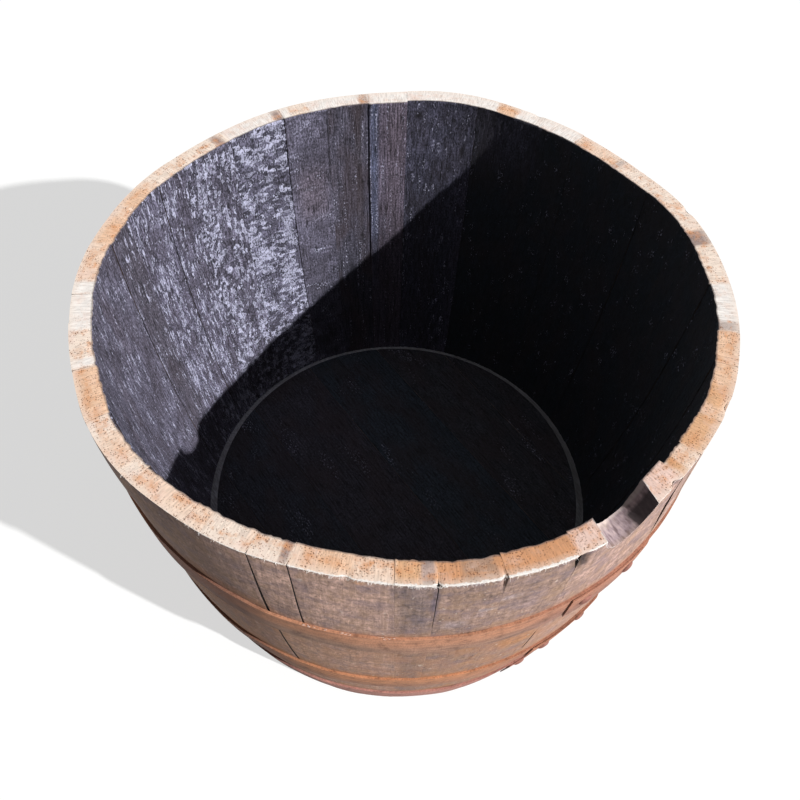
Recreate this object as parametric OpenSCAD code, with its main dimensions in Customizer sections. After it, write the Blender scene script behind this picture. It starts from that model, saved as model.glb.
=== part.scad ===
// Wooden barrel planter: half of an oak cask, sawn across at its widest place
// and stood on its head. Origin on the floor under the middle, +Z up, millimetres.

/* [Barrel] */
// Outer diameter at the sawn rim, the widest place
rim_d = 650; // [600:5:720]
// Outer diameter at the foot
base_d = 550; // [500:5:585]
// Height from the floor to the sawn rim
height = 450; // [420:5:560]
// Thickness of the thinnest stave
stave_t = 22; // [18:0.5:27]
// Thickness of the stave ends that stand on the floor
foot_t = 12; // [8:0.5:16]
// Gap from one stave to the next, at the rim
stave_gap = 0.3; // [0.2:0.05:0.5]

/* [Bung hole] */
// Diameter of the bung hole that the saw cut in half
bung_d = 57; // [40:1:70]
// Where the middle of the wide stave lies, turning from +X
bung_turn = -53; // [-180:1:180]
// How far the bung hole lies from the middle of its stave
bung_off = -3.5; // [-20:0.5:20]
// How far the hole's axis is turned from straight through the stave
bung_skew = -11; // [-20:1:20]

/* [Head] */
// Height of the head's underside above the floor
head_up = 23; // [15:1:40]
// Thickness of the head boards
head_t = 22; // [16:1:30]
// Thickness of the tongue round the head's edge
tongue_t = 6; // [4:0.5:10]
// Width of the bevel between the tongue and the head's faces
bevel_w = 10; // [5:1:16]
// Depth of the groove that the staves hold the tongue in
groove_depth = 5; // [3:0.5:8]
// Room between the tongue and the groove on each side
groove_clear = 0.3; // [0.15:0.05:0.5]
// Height of the evenly planed band above the head
planed_h = 18; // [8:1:40]
// Gap from one head board to the next
board_gap = 0.3; // [0.2:0.05:0.5]
// Direction across the head boards, turning from +X
head_turn = 38; // [-90:1:90]

/* [Dowels] */
// Diameter of the dowels in the joints of the head
dowel_d = 10; // [6:0.5:12]
// Length of a dowel
dowel_len = 36; // [24:1:50]
// Distance between the two dowels of a joint
dowel_apart = 160; // [80:5:200]
// Room round a dowel and past its ends
dowel_clear = 0.2; // [0.1:0.05:0.3]

/* [Hoops] */
// Thickness of the steel strip
hoop_t = 1.6; // [1:0.1:3]
// Room between a hoop and the staves
hoop_clear = 0.3; // [0.2:0.05:0.6]
// Distance from the rim down to the bilge hoop
bilge_hoop_down = 116; // [60:2:150]
// Width of the bilge hoop
bilge_hoop_w = 44; // [30:1:55]
// Height of the quarter hoop's lower edge above the floor
quarter_hoop_up = 120; // [90:2:160]
// Width of the quarter hoop
quarter_hoop_w = 44; // [30:1:55]
// Height of the chime hoop's lower edge above the floor
chime_hoop_up = 4; // [2:1:20]
// Width of the chime hoop
chime_hoop_w = 50; // [35:1:60]

/* [Laps] */
// Length over which a hoop's outer end lies on its inner end
lap_len = 95; // [70:5:140]
// Where the outer end of each lap stops, turning from +X
lap_turn = -60; // [-180:1:180]
// Room between the two layers of a lap
lap_clear = 0.1; // [0.05:0.05:0.3]
// Length of the step that brings the outer layer down onto the staves
step_len = 8; // [4:1:16]
// Gap between a hoop's inner end and that step
lap_end_gap = 3; // [1:0.5:8]
// Diameter of a rivet's shank
rivet_d = 6; // [4:0.5:8]
// Diameter of a rivet's head
rivet_head_d = 15; // [10:0.5:18]
// Height of a rivet's head
rivet_head_h = 3.5; // [2:0.25:5]
// Distance from the lap's ends to the middle of its rivets
rivet_in = 20; // [12:1:30]
// Room round a rivet's shank and under its head
rivet_clear = 0.1; // [0.05:0.05:0.2]

/* [Hidden] */
// Width of each stave at the rim, going round from the bung stave
stave_widths = [
    120, 31, 43, 70, 44, 66, 55, 37, 64, 62, 58, 54, 84, 92, 50, 56, 59,
    79, 78, 40, 62, 43, 74, 37, 60, 61, 75, 60, 57, 34, 88, 34, 54, 62
];
// How much thicker than the thinnest stave each one is
stave_more = [
    3, 0, 1, 0.5, 1, 0, 1, 0.5, 0, 1, 0.5, 1, 0, 0.5, 2, 0, 1,
    0, 0.5, 1.5, 0, 1, 0, 0.5, 1, 2, 0.5, 0, 1, 0, 0.5, 1, 0, 0.5
];
// Width of each head board, going across the head
board_widths = [78, 90, 108, 108, 81, 65];

rim_r = rim_d / 2;
base_r = base_d / 2;
// Radius of the arc that the staves are bent to
bend_r = (height * height + pow(rim_r - base_r, 2)) / (2 * (rim_r - base_r));
// Outer radius of the barrel at a height above the floor
function wall_r(z) = rim_r - bend_r + sqrt(bend_r * bend_r - pow(height - z, 2));
wall_steps = 10;

function sum(v, n) = n > 0 ? v[n - 1] + sum(v, n - 1) : 0;
staves = len(stave_widths);
boards = len(board_widths);
stave_sum = sum(stave_widths, staves);
board_sum = sum(board_widths, boards);

// The head's tongue and the groove that holds it
head_mid = head_up + head_t / 2;
head_top = head_up + head_t;
planed_top = head_top + planed_h;
// Height over which a thicker stave swells from the planed band
swell_h = 10;
mouth_r = wall_r(head_mid) - stave_t;
groove_half = tongue_t / 2 + groove_clear;
head_r = mouth_r + groove_depth - groove_clear;
bevel_r = mouth_r - bevel_w;
// How far a cutting shape reaches past what it cuts
past = 1;
round_fn = 180;
hole_fn = 48;

function joint_turn(i) = bung_turn + 360 * (sum(stave_widths, i) - stave_widths[0] / 2) / stave_sum;
function turn_of(length, r) = length / r * 180 / PI;
function board_at(i) = head_r * (2 * sum(board_widths, i) / board_sum - 1);
function numbered(name, i) = str(name, i < 10 ? "0" : "", i);
function stave_name(i) = i == 0 ? "bung_stave" : numbered("stave_", i + 1);
function board_name(i) = numbered("head_board_", i + 1);

// A hoop's lower edge and width
bilge_hoop_at = [height - bilge_hoop_down - bilge_hoop_w, bilge_hoop_w];
quarter_hoop_at = [quarter_hoop_up, quarter_hoop_w];
chime_hoop_at = [chime_hoop_up, chime_hoop_w];
// How far the outer layer of a lap stands out from the inner one
layer = hoop_t + lap_clear;

// Half section of a stave: bent outside, bent inside, groove for the head, thinned foot
module stave_outline(thick) {
    swell_top = planed_top + swell_h;
    outside = [
        for (i = [0:wall_steps])
            let (z = height * i / wall_steps)
            [wall_r(z), z]
    ];
    inside = [
        for (i = [wall_steps:-1:0])
            let (z = swell_top + (height - swell_top) * i / wall_steps)
            [wall_r(z) - thick, z]
    ];
    polygon(concat(outside, inside, [
        [wall_r(planed_top) - stave_t, planed_top],
        [mouth_r, head_mid + groove_half],
        [mouth_r + groove_depth, head_mid + groove_half],
        [mouth_r + groove_depth, head_mid - groove_half],
        [mouth_r, head_mid - groove_half],
        [base_r - foot_t, 0]
    ]));
}

// One stave between two joints that run through the barrel's middle
module stave(i) {
    gap_turn = turn_of(stave_gap, rim_r);
    from = joint_turn(i) + gap_turn / 2;
    rotate_extrude(start = from, angle = joint_turn(i + 1) - gap_turn / 2 - from, $fn = round_fn)
        stave_outline(stave_t + stave_more[i]);
}

module plain_stave(i) {
    color([0.66, 0.52, 0.40]) stave(i);
}

// The wide stave, with the half of the bung hole that the saw left
module bung_stave() {
    color([0.72, 0.56, 0.47])
        difference() {
            stave(0);
            translate([0, 0, height])
                rotate(bung_turn)
                    translate([rim_r - stave_t / 2, bung_off, 0])
                        rotate([0, 90, bung_skew])
                            cylinder(d = bung_d, h = 4 * stave_t, center = true, $fn = hole_fn);
        }
}

// The whole head before it is cut into boards
module head_disc() {
    rotate_extrude($fn = round_fn)
        polygon([
            [0, head_up],
            [bevel_r, head_up],
            [mouth_r, head_mid - tongue_t / 2],
            [head_r, head_mid - tongue_t / 2],
            [head_r, head_mid + tongue_t / 2],
            [mouth_r, head_mid + tongue_t / 2],
            [bevel_r, head_top],
            [0, head_top]
        ]);
}

// Rods across a joint of the head, the dowels themselves or the holes for them
module dowel_pair(joint, d, length) {
    rotate(head_turn)
        for (side = [-1, 1])
            translate([board_at(joint) - length / 2, side * dowel_apart / 2, head_mid])
                rotate([0, 90, 0])
                    cylinder(d = d, h = length, $fn = hole_fn);
}

module head_board(i) {
    from = i == 0 ? -head_r - past : board_at(i) + board_gap / 2;
    to = i == boards - 1 ? head_r + past : board_at(i + 1) - board_gap / 2;
    color([0.24, 0.20, 0.18])
        difference() {
            intersection() {
                head_disc();
                rotate(head_turn)
                    translate([from, -head_r - past, head_up - past])
                        cube([to - from, 2 * (head_r + past), head_t + 2 * past]);
            }
            for (joint = [max(i, 1):min(i + 1, boards - 1)])
                dowel_pair(joint, dowel_d + 2 * dowel_clear, dowel_len + 2 * dowel_clear);
        }
}

module head_dowels() {
    color([0.78, 0.64, 0.46])
        for (joint = [1:boards - 1]) dowel_pair(joint, dowel_d, dowel_len);
}

// Part of a hoop's strip, from one layer's inside to another layer's outside
module strip(at, from, angle, inner_layer, outer_layer) {
    low = at[0];
    high = at[0] + at[1];
    inner = hoop_clear + inner_layer * layer;
    outer = hoop_clear + outer_layer * layer + hoop_t;
    rotate_extrude(start = from, angle = angle, $fn = round_fn)
        polygon([
            [wall_r(low) + inner, low],
            [wall_r(low) + outer, low],
            [wall_r(high) + outer, high],
            [wall_r(high) + inner, high]
        ]);
}

// Puts its children on the middle of a hoop, looking straight out of it
module on_hoop(at, turn) {
    lean = atan((wall_r(at[0] + at[1]) - wall_r(at[0])) / at[1]);
    mid_r = (wall_r(at[0]) + wall_r(at[0] + at[1])) / 2 + hoop_clear;
    rotate(turn)
        translate([mid_r, 0, at[0] + at[1] / 2])
            rotate([0, 90 + lean, 0])
                children();
}

// Turns, along a lap, of the middles of its rivets
function rivet_turns(at) = [
    for (along = [rivet_in, lap_len - rivet_in])
        lap_turn + turn_of(along, wall_r(at[0]))
];

// A strip bent round once, stepped out over its own end and drilled for the rivets
module hoop(at) {
    lap = turn_of(lap_len, wall_r(at[0]));
    step = turn_of(step_len, wall_r(at[0]));
    end_gap = turn_of(lap_end_gap, wall_r(at[0]));
    color([0.62, 0.38, 0.26])
        difference() {
            union() {
                strip(at, lap_turn, lap + step / 2, 1, 1);
                strip(at, lap_turn + lap, step, 0, 1);
                strip(at, lap_turn + lap + step / 2, 360 - step / 2 - end_gap, 0, 0);
            }
            for (turn = rivet_turns(at))
                on_hoop(at, turn)
                    translate([0, 0, -past])
                        cylinder(d = rivet_d + 2 * rivet_clear, h = 2 * layer + 2 * past, $fn = hole_fn);
        }
}

// A shank through both layers under a low round head
module rivet() {
    seat = layer + hoop_t + rivet_clear;
    dome_r = (pow(rivet_head_d / 2, 2) + pow(rivet_head_h, 2)) / (2 * rivet_head_h);
    cylinder(d = rivet_d, h = seat + rivet_head_h / 2, $fn = hole_fn);
    translate([0, 0, seat])
        intersection() {
            translate([0, 0, rivet_head_h - dome_r]) sphere(r = dome_r, $fn = hole_fn);
            cylinder(d = rivet_head_d, h = rivet_head_h, $fn = hole_fn);
        }
}

module rivets(at) {
    color([0.50, 0.31, 0.22])
        for (turn = rivet_turns(at)) on_hoop(at, turn) rivet();
}

module bilge_hoop() { hoop(bilge_hoop_at); }
module bilge_hoop_rivets() { rivets(bilge_hoop_at); }
module quarter_hoop() { hoop(quarter_hoop_at); }
module quarter_hoop_rivets() { rivets(quarter_hoop_at); }
module chime_hoop() { hoop(chime_hoop_at); }
module chime_hoop_rivets() { rivets(chime_hoop_at); }

bung_stave();
for (i = [1:staves - 1])
    plain_stave(i);
for (i = [0:boards - 1])
    head_board(i);
head_dowels();
bilge_hoop();
bilge_hoop_rivets();
quarter_hoop();
quarter_hoop_rivets();
chime_hoop();
chime_hoop_rivets();
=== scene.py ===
"""Half-barrel planter: the visible wood, char and steel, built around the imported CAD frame.

Everything is in metres, with the origin on the floor under the middle and +Z up.
A stave or hoop is first laid out flat: X runs round the barrel at the rim, Y goes in
from the barrel's outer face, and Z is up. Geometry nodes then bend it into place.
"""

import math

import bmesh
import bpy
import numpy as np
from mathutils import Matrix, Vector


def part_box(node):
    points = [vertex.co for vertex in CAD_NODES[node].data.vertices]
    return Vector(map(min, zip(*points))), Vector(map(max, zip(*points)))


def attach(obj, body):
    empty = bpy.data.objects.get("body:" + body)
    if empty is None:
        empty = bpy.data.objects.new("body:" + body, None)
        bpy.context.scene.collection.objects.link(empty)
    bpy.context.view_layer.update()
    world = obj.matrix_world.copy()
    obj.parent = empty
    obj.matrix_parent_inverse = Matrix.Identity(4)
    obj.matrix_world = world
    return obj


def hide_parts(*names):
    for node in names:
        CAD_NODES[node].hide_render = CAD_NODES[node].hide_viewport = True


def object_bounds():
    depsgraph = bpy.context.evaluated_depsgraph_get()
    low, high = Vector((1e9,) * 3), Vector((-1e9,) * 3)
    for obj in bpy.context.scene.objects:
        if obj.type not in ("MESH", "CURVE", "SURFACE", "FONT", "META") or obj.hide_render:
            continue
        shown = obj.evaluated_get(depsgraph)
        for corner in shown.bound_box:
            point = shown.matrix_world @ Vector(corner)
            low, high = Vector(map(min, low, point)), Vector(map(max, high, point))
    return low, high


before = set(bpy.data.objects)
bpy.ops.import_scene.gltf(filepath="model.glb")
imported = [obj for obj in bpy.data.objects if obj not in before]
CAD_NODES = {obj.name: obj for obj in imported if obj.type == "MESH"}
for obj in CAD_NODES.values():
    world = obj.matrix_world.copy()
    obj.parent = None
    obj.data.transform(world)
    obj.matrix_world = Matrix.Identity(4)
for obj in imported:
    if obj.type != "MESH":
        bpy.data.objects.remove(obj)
CAD_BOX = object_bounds()

bl_info = {
    "name": "Half-Barrel Planter",
    "version": (1, 0, 0),
    "blender": (4, 5, 0),
    "location": "3D View > Sidebar > Planter",
    "description": "Dresses the frame of a planter made from half of an oak cask",
    "category": "Object",
}

MM = 0.001
# Metres; points nearer than this lie on each other
TOUCH = 1e-7
# One turn in radians, near enough for chance
FULL_TURN = 6.283
BODY = "root"
SEED = 7


# ---------------------------------------------------------------- sizes from the frame

def points_of(name):
    """The corners of a CAD node as rows of x, y, z."""
    return np.array([v.co for v in CAD_NODES[name].data.vertices])


def reach_of(name, low, high):
    """The smallest and largest distance from the axis between two heights."""
    at = points_of(name)
    at = at[(at[:, 2] > low - 0.1 * MM) & (at[:, 2] < high + 0.1 * MM)]
    away = np.hypot(at[:, 0], at[:, 1])
    return away.min(), away.max()


RIM_Z = round(CAD_BOX[1].z, 4)
RIM_R = round(CAD_BOX[1].x, 3)
FOOT_R = round(reach_of("stave_13", 0, 0)[1], 3)
FOOT_INNER_R = round(reach_of("stave_13", 0, 0)[0], 3)
HEAD_LOW, HEAD_TOP = (round(z, 4) for z in (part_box("head_board_03")[0].z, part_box("head_board_03")[1].z))
HEAD_MID = (HEAD_LOW + HEAD_TOP) / 2
HEAD_R = round(reach_of("head_board_03", 0, RIM_Z)[1], 4)
BEND_R = (RIM_Z ** 2 + (RIM_R - FOOT_R) ** 2) / (2 * (RIM_R - FOOT_R))

STAVE_T = 22 * MM
MOUTH_R = HEAD_R - 4.7 * MM
BEVEL_R = MOUTH_R - 10 * MM
TONGUE_T = 6 * MM
GROOVE_DEPTH = 5 * MM
GROOVE_HALF = 3.3 * MM
PLANED_TOP = HEAD_TOP + 18 * MM
SWELL_TOP = PLANED_TOP + 10 * MM
HEAD_TURN = math.radians(38)


def wall(z):
    """Outer radius of the barrel at a height."""
    return RIM_R - BEND_R + np.sqrt(BEND_R ** 2 - (RIM_Z - z) ** 2)


def ways(turn):
    """Unit vectors out from the axis and round it, at a turn."""
    return np.array(((math.cos(turn), math.sin(turn), 0), (-math.sin(turn), math.cos(turn), 0)))


def around(turn, out, z):
    """Points at a turn or turns, this far out and this high."""
    return np.stack(np.broadcast_arrays(out * np.cos(turn), out * np.sin(turn), z), -1)


# ---------------------------------------------------------------- the object's own looks, with some painted light and shade

# How far the rim stands out of a true circle, in mm, every 20 degrees from +X
RIM_EASES = (1.5, 3.5, -4, -0.5, 7, -1.5, -2, -5, -0.5, 2, 0, 5, 0.5, -4, 0, 1.5, -3.5, -0.5)
# The eases fade out at the bilge hoop's upper edge
EASE_LOW = 334 * MM

# Tones of the sawn end grain and of the weathered outside
RIM_TONES = {
    "white": "fdf6f0", "cream": "fce9d9", "pale": "f9dcc6", "peach": "f4ccad", "orange": "e9b88f",
    "rust": "d9a078", "pink": "f3d2c4", "mauve": "a8938c", "brown": "b8937a", "grey": "cdbdb4",
}
OUTSIDE_TONES = {
    "taupe": "a68c80", "rosy": "ab8e83", "dark": "8b7872", "tan": "ac8e7c", "bleached": "b29c92",
    # warm is painted light: a lighter copy of the weathered tone for the two staves that use it, standing in
    # for light that falls on them
    "warm": "bf9f92", "dusky": "987f74",
}
# Char styles: a pad's size across and along the grain in mm, relief in mm, then shares from
# 0 to 1 of pads that have lifted, of contrast between pads and of brown warmth, and the base
CHAR_STYLES = {
    "flaky": (9, 5, 1.3, 0.72, 0.9, 0.1, "5c5a6b"),
    "chippy": (4.5, 7, 1.1, 0.6, 0.9, 0.1, "5c5969"),
    "streaked": (2.4, 10, 0.6, 0.44, 0.8, 0.2, "5f5c6d"),
    "dull": (2.6, 13, 0.5, 0.2, 0.5, 0.2, "605d6d"),
    "scaly": (3, 11, 1.0, 0.08, 0.7, 0.1, "444352"),
    "grained": (2.4, 40, 0.4, 0.05, 0.5, 0.4, "514e5b"),
    "reddish": (2.6, 50, 0.4, 0.06, 0.5, 0.2, "645c6b"),
    "rippled": (18, 7, 0.9, 0.05, 0.5, 0.1, "5e5b6b"),
    # sooty is partly the black of thick char and partly painted shade: a darker copy of the char for the
    # staves that lie in shadow
    "sooty": (6, 10, 0.9, 0.0, 0.5, 0.1, "12161c"),
}
# For each stave, going round from the bung hole: its rim tone, a strip of another rim
# tone with where it starts and ends across the stave, its outside and its char
STAVES = (
    ("pink", None, 0, 0, "rosy", "sooty"),
    ("pale", "orange", 0.1, 0.35, "rosy", "sooty"),
    ("orange", None, 0, 0, "tan", "sooty"),
    ("peach", "orange", 0.2, 0.6, "tan", "sooty"),
    ("peach", None, 0, 0, "tan", "sooty"),
    ("white", "grey", 0, 0.2, "bleached", "sooty"),
    ("cream", None, 0, 0, "taupe", "sooty"),
    ("cream", "mauve", 0.1, 0.7, "dark", "sooty"),
    ("cream", None, 0, 0, "tan", "sooty"),
    ("cream", "grey", 0.86, 1, "taupe", "sooty"),
    ("pale", None, 0, 0, "rosy", "sooty"),
    ("white", None, 0, 0, "bleached", "sooty"),
    ("white", "peach", 0.4, 0.7, "taupe", "sooty"),
    ("white", None, 0, 0, "tan", "scaly"),
    ("white", None, 0, 0, "dark", "reddish"),
    ("white", "grey", 0, 0.22, "taupe", "grained"),
    ("white", "cream", 0.4, 0.8, "rosy", "rippled"),
    ("white", "mauve", 0, 0.14, "tan", "flaky"),
    ("cream", "mauve", 0.1, 0.24, "taupe", "chippy"),
    ("cream", None, 0, 0, "bleached", "streaked"),
    ("pale", "peach", 0.2, 0.7, "tan", "streaked"),
    ("peach", None, 0, 0, "taupe", "dull"),
    ("pale", "white", 0.75, 1, "rosy", "dull"),
    ("white", None, 0, 0, "taupe", "dull"),
    ("white", "cream", 0.2, 0.8, "tan", "dull"),
    ("peach", None, 0, 0, "dark", "dull"),
    ("cream", "pale", 0.3, 0.8, "taupe", "dull"),
    ("pale", None, 0, 0, "dusky", "sooty"),
    ("pale", "cream", 0.3, 0.9, "rosy", "sooty"),
    ("cream", "mauve", 0.75, 0.97, "warm", "sooty"),
    ("pale", "peach", 0.1, 0.6, "warm", "sooty"),
    ("orange", "mauve", 0.62, 0.94, "dark", "sooty"),
    ("rust", "brown", 0.37, 0.9, "dusky", "sooty"),
    ("rust", None, 0, 0, "dusky", "sooty"),
)
# Joints that stand open outside: the joint's place in the list above, the gap in mm at
# the lower and at the upper end, and the heights in mm of both ends
OPEN_JOINTS = (
    (29, 3.4, 1.3, 334, 450), (29, 3.0, 1.9, 165, 290), (30, 1.9, 1.0, 334, 450), (0, 2.0, 1.3, 195, 250),
    (32, 0.7, 1.1, 360, 450), (33, 0.6, 1.0, 420, 450), (2, 1.0, 1.2, 340, 450),
) + tuple((joint, 0.9, 0.8, 0, 450) for joint in range(3, 27))
# Joints that lean: how far round they lie from the CAD ones at the rim and at the foot, in mm
LEANS = {29: (2.7, 22), 30: (2.7, 22), 31: (0, 8), 28: (0, 10)}
# Marks on the outside: turn in degrees, height, half width and half height in mm, how
# strong, and the colour
STAINS = (
    (-84.2, 412, 2.5, 34, 0.6, "565368"), (-86.5, 378, 8, 12, 0.5, "625c62"),
    (-88, 355, 16, 18, 0.3, "7a696e"), (-73, 406, 11, 5, 0.25, "d8ccd4"), (-76, 388, 8, 2.5, 0.4, "e8dfe2"),
    (-81, 362, 12, 9, 0.3, "cdc2cb"), (-78, 378, 15, 8, 0.35, "857a85"), (-70, 380, 16, 12, 0.3, "94868f"),
    (-89, 430, 10, 16, 0.3, "756c72"), (-86, 240, 4, 9, 0.8, "4b4a50"), (-84.6, 231, 3, 2.5, 0.7, "eadfce"),
    (-75.6, 235, 2.5, 9, 0.7, "5e463f"), (-67, 255, 26, 16, 0.55, "bd8455"),
    (-75, 212, 20, 10, 0.35, "b98a60"), (-98, 250, 40, 22, 0.25, "b58f70"),
    (-109, 235, 18, 45, 0.4, "cba88f"), (-119, 345, 50, 9, 0.5, "9b6b4b"),
    (-108, 352, 14, 12, 0.35, "76655f"), (-122, 372, 18, 10, 0.25, "7d6b5c"),
    (-95, 444, 5, 3, 0.6, "c08a58"), (-63.1, 435, 7.5, 11, 1.0, "433c3c"), (-65, 420, 5, 12, 0.4, "6a5a55"),
    (-104, 428, 2, 2, 0.6, "efe6da"), (-64, 400, 6, 30, 0.35, "a88d7c"),
)
# How wide the white torn lip of the rim is, in mm, at turns in degrees
TORN_TURNS = (
    -180, -150, -132, -114, -100, -90, -82, -74, -66, -64.2, -63.8, -62.4, -62, -57, -49, -44, -36, -20,
    180,
)
TORN_LIP = (0, 0.2, 0.6, 1.0, 1.5, 1.8, 2.1, 2.4, 2.4, 2.4, 0.1, 0.1, 2.0, 1.2, 0.9, 1.0, 0.6, 0.1, 0)
# Where splinters lie on the bilge hoop, in degrees, and how high
SPLINTER_TURNS = (-104, -102.5, -101, -97.6, -97, -91.5, -91)
SPLINTER_Z = EASE_LOW + 0.5 * MM
# Splinters lost from the outer edge and face: turn in degrees, height, width, height of
# the hollow and its depth in mm
CHIPS = (
    (-50, 396, 42, 34, 4), (-74.8, 447, 1.2, 16, 2.5), (-63.0, 438, 5.5, 8, 4.5), (-97, 449, 4, 3, 2),
    (-44, 449, 5, 5, 3), (-26, 449, 7, 4, 2.5), (-84, 449, 1.5, 3, 2.5), (22, 449, 6, 3, 2),
    (62, 448, 4, 6, 2),
)
# Marks on the hoops, like the marks on the outside
HOOP_MARKS = (
    # The dark mark at -126 degrees is painted shade on the side of the hoops that faces away from the key
    # light
    (-46, 230, 130, 400, 0.6, "97685c"), (-126, 230, 82, 400, 0.75, "654640"),
    (-84, 318, 60, 30, 0.3, "cc9478"), (170, 230, 160, 400, 0.4, "7a5044"),
    (60, 320, 90, 40, 0.4, "93614a"), (120, 140, 120, 40, 0.35, "8a5a48"),
)
# Marks on the char, like the marks on the outside; some of them are painted light and shade
CHAR_MARKS = (
    # At 99.3 degrees, a bluish strip of painted shade: the sky-lit face of a step where one stave stands
    # thicker than its neighbour
    (99.3, 380, 6.5, 200, 0.85, "565c74"), (88.6, 430, 5, 5, 0.9, "101014"),
    (94, 300, 12, 260, 0.3, "6b5f68"), (134.4, 385, 0.9, 22, 1.0, "09090b"),
    (133.8, 240, 0.8, 110, 0.8, "17161c"), (110.4, 400, 1.2, 60, 0.8, "131216"),
    (103, 400, 5, 200, 0.5, "3a3436"), (121.5, 350, 2.0, 160, 0.5, "2b2a33"),
    (115, 330, 24, 40, 0.4, "64565c"), (78, 430, 5, 60, 0.4, "35333b"), (-146.5, 420, 6, 60, 0.6, "747a92"),
    (-150.5, 405, 5, 70, 0.5, "4c4a58"), (-147.5, 438, 1, 8, 0.9, "101014"),
    (170, 330, 21, 240, 0.85, "4c4852"), (159, 405, 12, 40, 0.5, "7d7a90"),
    # At 68 degrees, painted light: a lighter patch where the key light falls on the upper part of a stave
    # whose char is painted in shade. From 83.4 to 115 degrees, near-black marks of painted shadow on the
    # lower parts of the lit staves
    (68, 440, 46, 62, 0.85, "3c3b47"), (83.4, 150, 48, 175, 0.6, "12161c"),
    (96, 130, 27, 150, 0.6, "12161c"), (105, 100, 32, 150, 0.6, "12161c"),
    (115, 80, 36, 130, 0.5, "12161c"), (-165, 330, 14, 60, 0.35, "58505a"),
    (-158, 300, 8, 60, 0.3, "5f5560"), (-176, 380, 12, 60, 0.35, "554c56"),
)

# The head's char: a tone for each board, shares as in the styles above, and pads per metre
HEAD_CHAR, HEAD_CELL = (0.0, 0.25, 0.3), (80.0, 0.0, 24.0)
HEAD_TONES = ("383840", "353740", "3c3a42", "343a43", "3a3a40", "36363c")
STRIPS = {
    # name: lower edge, width, and how far the lap's free end has sprung off, in mm, then
    # the rust's tone at the upper and at the lower edge
    "bilge_hoop": (290, 44, 0.2, "c48d6e", "9a7c6c"),
    "quarter_hoop": (120, 44, 0.3, "bf8663", "a97c64"),
    "chime_hoop": (4, 50, 0.3, "b9867a", "a87c72"),
}
HOOP_T, HOOP_CLEAR, LAP_CLEAR, HOOP_BITE = 1.6 * MM, 0.3 * MM, 0.1 * MM, 0.9 * MM
LAP_TURN, LAP_LEN, LAP_STEP, LAP_END = math.radians(-60), 95 * MM, 8 * MM, 3 * MM
# Depth of the deepest dents in a hoop, and how far each rivet lies from the lap's end
DENT, RIVET_IN = 1.0 * MM, 20 * MM
# The camera and the key light, solved from the photo: angles in radians, distance in metres
CAMERA_TILT, CAMERA_ROLL, CAMERA_AWAY, CAMERA_LENS = math.radians(53.65), math.radians(2.39), 0.9545, 35.75
CAMERA_AIM = (-1.69 * MM, 0, 247.3 * MM)
KEY_TURN, KEY_RISE = math.radians(-28.7), math.radians(30.9)
# What the camera sees of the floor: its colour, and how much it glows
FLOOR_SEEN, FLOOR_GLOW = (0.42, 0.42, 0.415, 1.0), 0.62


def linear(code):
    """An sRGB hex colour as linear red, green, blue and alpha."""
    parts = [int(code[i:i + 2], 16) / 255 for i in (0, 2, 4)]
    return [p / 12.92 if p <= 0.04045 else ((p + 0.055) / 1.055) ** 2.4 for p in parts] + [1.0]


# ---------------------------------------------------------------- settings

def size(name, text, default):
    return bpy.props.FloatProperty(name=name, description=text, default=default, unit="LENGTH", precision=4)


def share(name, text, default, top=1.0):
    return bpy.props.FloatProperty(name=name, description=text, default=default, min=0.0, max=top)


def colour(name, text, code):
    return bpy.props.FloatVectorProperty(
        name=name, description=text, size=4, subtype="COLOR", default=linear(code), min=0.0, max=1.0)


class PlanterSizes(bpy.types.PropertyGroup):
    """Sizes that the visible wood and steel are made to."""

    rim_radius: size("Rim radius", "Outer radius at the sawn rim", RIM_R)
    bend_radius: size("Bend radius", "Radius of the arc that the staves are bent to", BEND_R)
    rim_height: size("Rim height", "Height of the sawn rim above the floor", RIM_Z)
    column: size("Column width", "Spacing of a stave's mesh across the grain", 2.1 * MM)
    row: size("Row height", "Spacing of a stave's mesh along the grain", 2.6 * MM)
    grain_depth: size("Grain depth", "Depth of the weathered grain", 0.45 * MM)
    saw_depth: size("Saw mark depth", "Depth of the saw marks on the rim", 0.35 * MM)
    bung_radius: size("Bung hole radius", "Radius of the hole that the saw cut in half", 28.5 * MM)
    rust_depth: size("Rust depth", "Depth of the pits in the hoops", 0.28 * MM)
    fibre_length: size("Fibre length", "Length of a torn fibre at the rim", 5 * MM)


class PlanterColours(bpy.types.PropertyGroup):
    """Colours of the wood, the char and the steel."""

    rust_stain: colour("Rust stain", "Where the hoops have stained the oak", "ad7850")
    pore: colour("Pore", "Pores in the sawn end grain", "74482f")
    blotch: colour("Blotch", "Orange blotches in the sawn end grain", "e2a273")
    torn: colour("Torn oak", "White torn fibres at the rim", "fbf5ef")
    char_deep: colour("Char, cracks", "Cracks in the char", "0b0b0d")
    # Pale, partly the flakes' own colour and partly painted sheen
    char_flake_sheen: colour("Char, flakes", "Glossy loose flakes of char", "bcbcd4")
    char_warm: colour("Char, brown", "Thinner char that lets brown wood through", "4b3e40")
    joint_wood: colour("Joint wood", "Bare oak between two staves", "4a3a31")
    bevel_wood: colour("Bevel wood", "Bare pale oak round the head", "d2d4da")
    rust_dark: colour("Old rust", "Dark layer of old rust", "5b3a30")
    dowel_wood: colour("Dowel wood", "Clean split oak", "c09a70")
    floor: colour("Floor", "Pale studio floor", "f4f4f2")


class PlanterStudio(bpy.types.PropertyGroup):
    """The plain studio around the planter."""

    key: share("Key light", "Strength of the key light", 4.95, 10)
    key_angle: bpy.props.FloatProperty(
        name="Key softness", description="Angle that the key light fills", default=math.radians(1),
        subtype="ANGLE")
    fill: share("Fill light", "Strength of the light from all round", 0.14, 4)
    bounce: share("Floor bounce", "How much light the floor throws back at the planter", 0.33)


# ---------------------------------------------------------------- shared makers

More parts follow.
